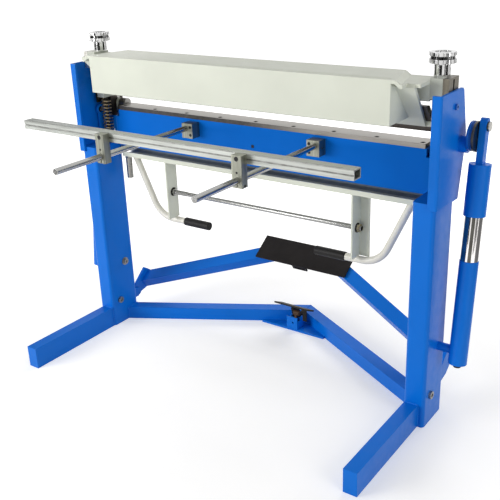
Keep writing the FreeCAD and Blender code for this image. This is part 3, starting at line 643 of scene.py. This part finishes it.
def apron_welds():
    """Beads beside the braces and around the handles, under the apron's flange."""
    shape = Shape()
    for _, side in SIDES:
        for x, far in ((384.5, 159), (391.5, 153)):
            shape.bead([place(side * x, 105, BRACE_FOOT_Z), place(side * x, far, BRACE_FOOT_Z)], 2.2)
        ring = [FULL_TURN * k / 20 for k in range(21)]
        shape.bead([place(side * 577 + 14 * math.cos(t), 147 + 13 * math.sin(t), BRACE_FOOT_Z)
                    for t in ring], 2.2)
    piece("apron_welds", shape, "cream", "apron")


frame_welds()
apron_welds()


# Threads and washers of the tie rod
TIE_ROD_LINE = (135, 575)  # its Y and Z


def tie_rod_threads():
    threads, washers = Shape(), Shape()
    washer = [(0, 16.5, 0), (1.6, 16.5, 0), (2, 16, 0)]
    for _, side in SIDES:
        out = X_AXIS * side
        for x, length in ((318, 55), (403, 5)):
            start = place(side * x, *TIE_ROD_LINE)
            threads.thread(start, out, length, root=7.6, crest=8.7, pitch=2.0)
        washers.turned(place(side * 391, *TIE_ROD_LINE), out, washer)
        washers.turned(place(side * 385, *TIE_ROD_LINE), -out, washer)
    piece("tie_rod_threads", threads, "cross_rod", "apron")
    piece("tie_rod_washers", washers, "oxide", "apron")


tie_rod_threads()


# Plugs: under each strut's cylinder, and a square one behind the bed
STRUT_ANCHOR, STRUT_HEAD = (771, 90, 255), (771, 169, 941)
STRUT_LEAN = math.atan2(STRUT_HEAD[1] - STRUT_ANCHOR[1], STRUT_HEAD[2] - STRUT_ANCHOR[2])
CYLINDER_END = 0.039  # metres below the anchor


def plugs():
    down = Vector((0, -math.sin(STRUT_LEAN), -math.cos(STRUT_LEAN)))
    for name, side in SIDES:
        shape = Shape()
        foot = place(side * STRUT_ANCHOR[0], *STRUT_ANCHOR[1:]) + down * CYLINDER_END
        shape.turned(foot, down, [(0, 15, 0), (9, 15, 0), (14, 11, 0), (14, 7, 0), (12, 7, 1)])
        piece(name + "_strut_plug", shape, "plug", name + "_strut")
    shape = Shape()
    centre = place(-5, 125, 797.5)
    corners = ((-1, -1), (1, -1), (1, 1), (-1, 1))
    shape.loft([[centre + Vector((sx * half, -out, sz * half)) / 1000 for sx, sz in corners]
                for out, half in ((0, 5), (1.2, 5), (1.6, 4.6), (1.6, 3.4), (0.4, 3.2))])
    piece("bed_plug", shape, "plug", "frame")


plugs()


# Camera, fitted to the photograph. Its place is in metres.
IMAGE_PIXELS = 500
FOCAL_PIXELS = 792.4
SENSOR_MM = 36.0
CAMERA_PLACE = Vector((1.5166, -2.0026 + SHIFT_Y, 1.4833))
CAMERA_AZIMUTH = math.radians(36.063)
CAMERA_ELEVATION = math.radians(22.122)
CAMERA_ROLL = math.radians(-2.229)


def aim():
    """The camera's place and turn from its azimuth, elevation and roll."""
    forward = Vector((-math.sin(CAMERA_AZIMUTH) * math.cos(CAMERA_ELEVATION),
                      math.cos(CAMERA_AZIMUTH) * math.cos(CAMERA_ELEVATION),
                      -math.sin(CAMERA_ELEVATION)))
    level = forward.cross(Z_AXIS).normalized()
    up = level.cross(forward)
    right = level * math.cos(CAMERA_ROLL) + up * math.sin(CAMERA_ROLL)
    top = up * math.cos(CAMERA_ROLL) - level * math.sin(CAMERA_ROLL)
    turn = Matrix((right, top, -forward)).transposed()
    return Matrix.Translation(CAMERA_PLACE) @ turn.to_4x4()


camera_data = bpy.data.cameras.new("camera")
camera_data.sensor_width = SENSOR_MM
camera_data.lens = FOCAL_PIXELS / IMAGE_PIXELS * SENSOR_MM
camera = bpy.data.objects.new("camera", camera_data)
camera.matrix_world = aim()
bpy.context.scene.collection.objects.link(camera)
bpy.context.scene.camera = camera


# Floor. It glows less near the machine, so that the soft contact shadow stays.
FLOOR_SIZE = 40.0
GLOW_STEPS = ((0.0, 0.33), (0.5, 0.36), (0.9, 0.43), (1.4, 0.57),
              (1.8, 0.68), (2.5, 0.75), (3.5, 0.79), (10.0, 0.80))  # distance and strength
GLOW_REACH = GLOW_STEPS[-1][0]
GLOW_SLANT = -0.08  # change of the glow per metre to the right, within a metre of the middle


def floor_material():
    """Pale floor that also glows to the camera and in reflections, so that it reads white."""
    g = Graph("studio_floor")
    specks = g.ramp(g.noise(2.0, 3.0), (0.79, 0.78, 0.765), (0.81, 0.80, 0.785))
    g.feed(specks, g.shader, "Base Color")
    g.constants({"Roughness": 0.9, "Specular IOR Level": 0.0})
    path = g.add("ShaderNodeLightPath")
    seen = g.either((path, "Is Camera Ray"), (path, "Is Glossy Ray"))
    distance = g.add("ShaderNodeVectorMath")
    distance.operation = "LENGTH"
    g.feed((g.coords, "Object"), distance, 0)
    steps = g.add("ShaderNodeValToRGB")
    g.feed(g.math("DIVIDE", (distance, "Value"), GLOW_REACH), steps, "Fac")
    stops = steps.color_ramp.elements
    while len(stops) < len(GLOW_STEPS):
        stops.new(0.5)
    for stop, (reach, _) in zip(stops, GLOW_STEPS):
        stop.position = reach / GLOW_REACH
    for stop, (_, strength) in zip(stops, GLOW_STEPS):
        stop.color = (strength, strength, strength, 1)
    side = g.math("MAXIMUM", g.math("MINIMUM", g.place("X"), 1.0), -1.0)
    glow = g.add("ShaderNodeEmission")
    g.feed(g.both(seen, g.math("MULTIPLY_ADD", side, GLOW_SLANT, steps)), glow, "Strength")
    sum_of_both = g.add("ShaderNodeAddShader")
    g.feed(g.shader, sum_of_both, 0)
    g.feed(glow, sum_of_both, 1)
    g.feed(sum_of_both, g.out, "Surface")
    return g.material


bpy.ops.mesh.primitive_plane_add(size=FLOOR_SIZE, location=(0, 0, 0))
floor = bpy.context.object
floor.name = "studio_floor"
floor.data.materials.append(floor_material())


# World: even light, and white where the camera or a reflection looks past the floor
WHITE = (1, 1, 1, 1)
WORLD_LIGHT = 0.36

world = bpy.data.worlds.new("studio")
bpy.context.scene.world = world
world.use_nodes = True
sky = Nodes(world.node_tree)
path = sky.add("ShaderNodeLightPath")
seen = sky.either((path, "Is Camera Ray"), (path, "Is Glossy Ray"))
choice = sky.add("ShaderNodeMixShader")
sky.feed(sky.either(seen, (path, "Is Transmission Ray")), choice, "Fac")
sky.feed(sky.add("ShaderNodeBackground", Color=WHITE, Strength=WORLD_LIGHT), choice, 1)
sky.feed(sky.add("ShaderNodeBackground", Color=WHITE, Strength=1.0), choice, 2)
sky.feed(choice, sky.add("ShaderNodeOutputWorld"), "Surface")


# Lamps: name, place, target, size, power in watts, and whether reflections show it
LAMPS = (("key", (-2.4, -3.5, 1.5), (0, 0, 0.7), (2.2, 1.8), 122, True),
         ("back", (0.0, 3.8, 2.6), (0, 0, 0.2), (3.2, 1.5), 80, False),
         ("side", (3.6, -1.2, 1.6), (0, 0, 0.6), (2.0, 2.4), 40, True))


def lamp(name, spot, target, size, power, glossy):
    """Area lamp at a spot, turned to its target."""
    data = bpy.data.lights.new(name, "AREA")
    data.shape = "RECTANGLE"
    data.size, data.size_y = size
    data.energy = power
    item = bpy.data.objects.new(name, data)
    item.location = spot
    item.visible_glossy = glossy
    way = Vector(target) - Vector(spot)
    item.rotation_euler = way.to_track_quat("-Z", "Y").to_euler()
    bpy.context.scene.collection.objects.link(item)


for row in LAMPS:
    lamp(*row)


# Flags that only reflections see. They give polished metal its dark streaks.
def flag_material(name, value):
    g = Graph(name)
    g.feed(g.ramp(g.noise(2.0), (value * 0.8,) * 3, (value * 1.2,) * 3), g.shader, "Base Color")
    g.constants({"Roughness": 0.9})
    return g.material


def reflections_only(card):
    card.visible_camera = False
    card.visible_diffuse = False
    card.visible_shadow = False


def upright_card(name, azimuth, spread, material):
    """Card that stands around the machine at an azimuth and spans so many degrees."""
    turn = math.radians(azimuth)
    x, y = math.sin(turn) * CARD_DISTANCE, -math.cos(turn) * CARD_DISTANCE
    bpy.ops.mesh.primitive_plane_add(size=1, location=(x, y, CARD_HEIGHT / 2))
    card = bpy.context.object
    card.name = name
    card.scale = (2 * CARD_DISTANCE * math.tan(math.radians(spread / 2)), CARD_HEIGHT, 1)
    card.rotation_euler = Vector((-x, -y, 0)).to_track_quat("Z", "Y").to_euler()
    card.data.materials.append(material)
    reflections_only(card)


def floor_card(name, centre, azimuths, radii, material):
    """Part of a ring that lies just over the floor."""
    steps = 8
    low, high = (math.radians(a) for a in azimuths)
    verts = []
    for i in range(steps + 1):
        turn = low + (high - low) * i / steps
        for radius in radii:
            x, y = centre[0] + radius * math.sin(turn), centre[1] - radius * math.cos(turn)
            verts.append((x, y, FLOOR_CARD_LIFT))
    faces = [(2 * i, 2 * i + 1, 2 * i + 3, 2 * i + 2) for i in range(steps)]
    mesh = bpy.data.meshes.new(name)
    mesh.from_pydata(verts, [], faces)
    mesh.materials.append(material)
    card = bpy.data.objects.new(name, mesh)
    bpy.context.scene.collection.objects.link(card)
    reflections_only(card)


BLACK_FLAG = flag_material("black_flag", 0.03)
GREY_FLAG = flag_material("grey_flag", 0.22)
CARD_DISTANCE, CARD_HEIGHT, FLOOR_CARD_LIFT = 3.3, 2.6, 0.003
UPRIGHT_CARDS = ((-48, 26, BLACK_FLAG), (-17, 22, BLACK_FLAG), (70, 22, GREY_FLAG),
                 (100, 24, GREY_FLAG), (125, 8, BLACK_FLAG), (165, 14, BLACK_FLAG),
                 (250, 16, GREY_FLAG))
STRUT_FOOT, MACHINE_MIDDLE = (0.771, 0.13), (0, 0)
for number, card in enumerate(UPRIGHT_CARDS):
    upright_card("flag_%d" % number, *card)
floor_card("floor_flag_near", STRUT_FOOT, (4, 37), (1.05, 2.5), BLACK_FLAG)
floor_card("floor_flag_right", STRUT_FOOT, (82, 150), (0.9, 2.8), GREY_FLAG)
floor_card("floor_flag_bed", MACHINE_MIDDLE, (-62, -18), (2.35, 3.1), GREY_FLAG)

bpy.context.scene.view_settings.view_transform = "Standard"
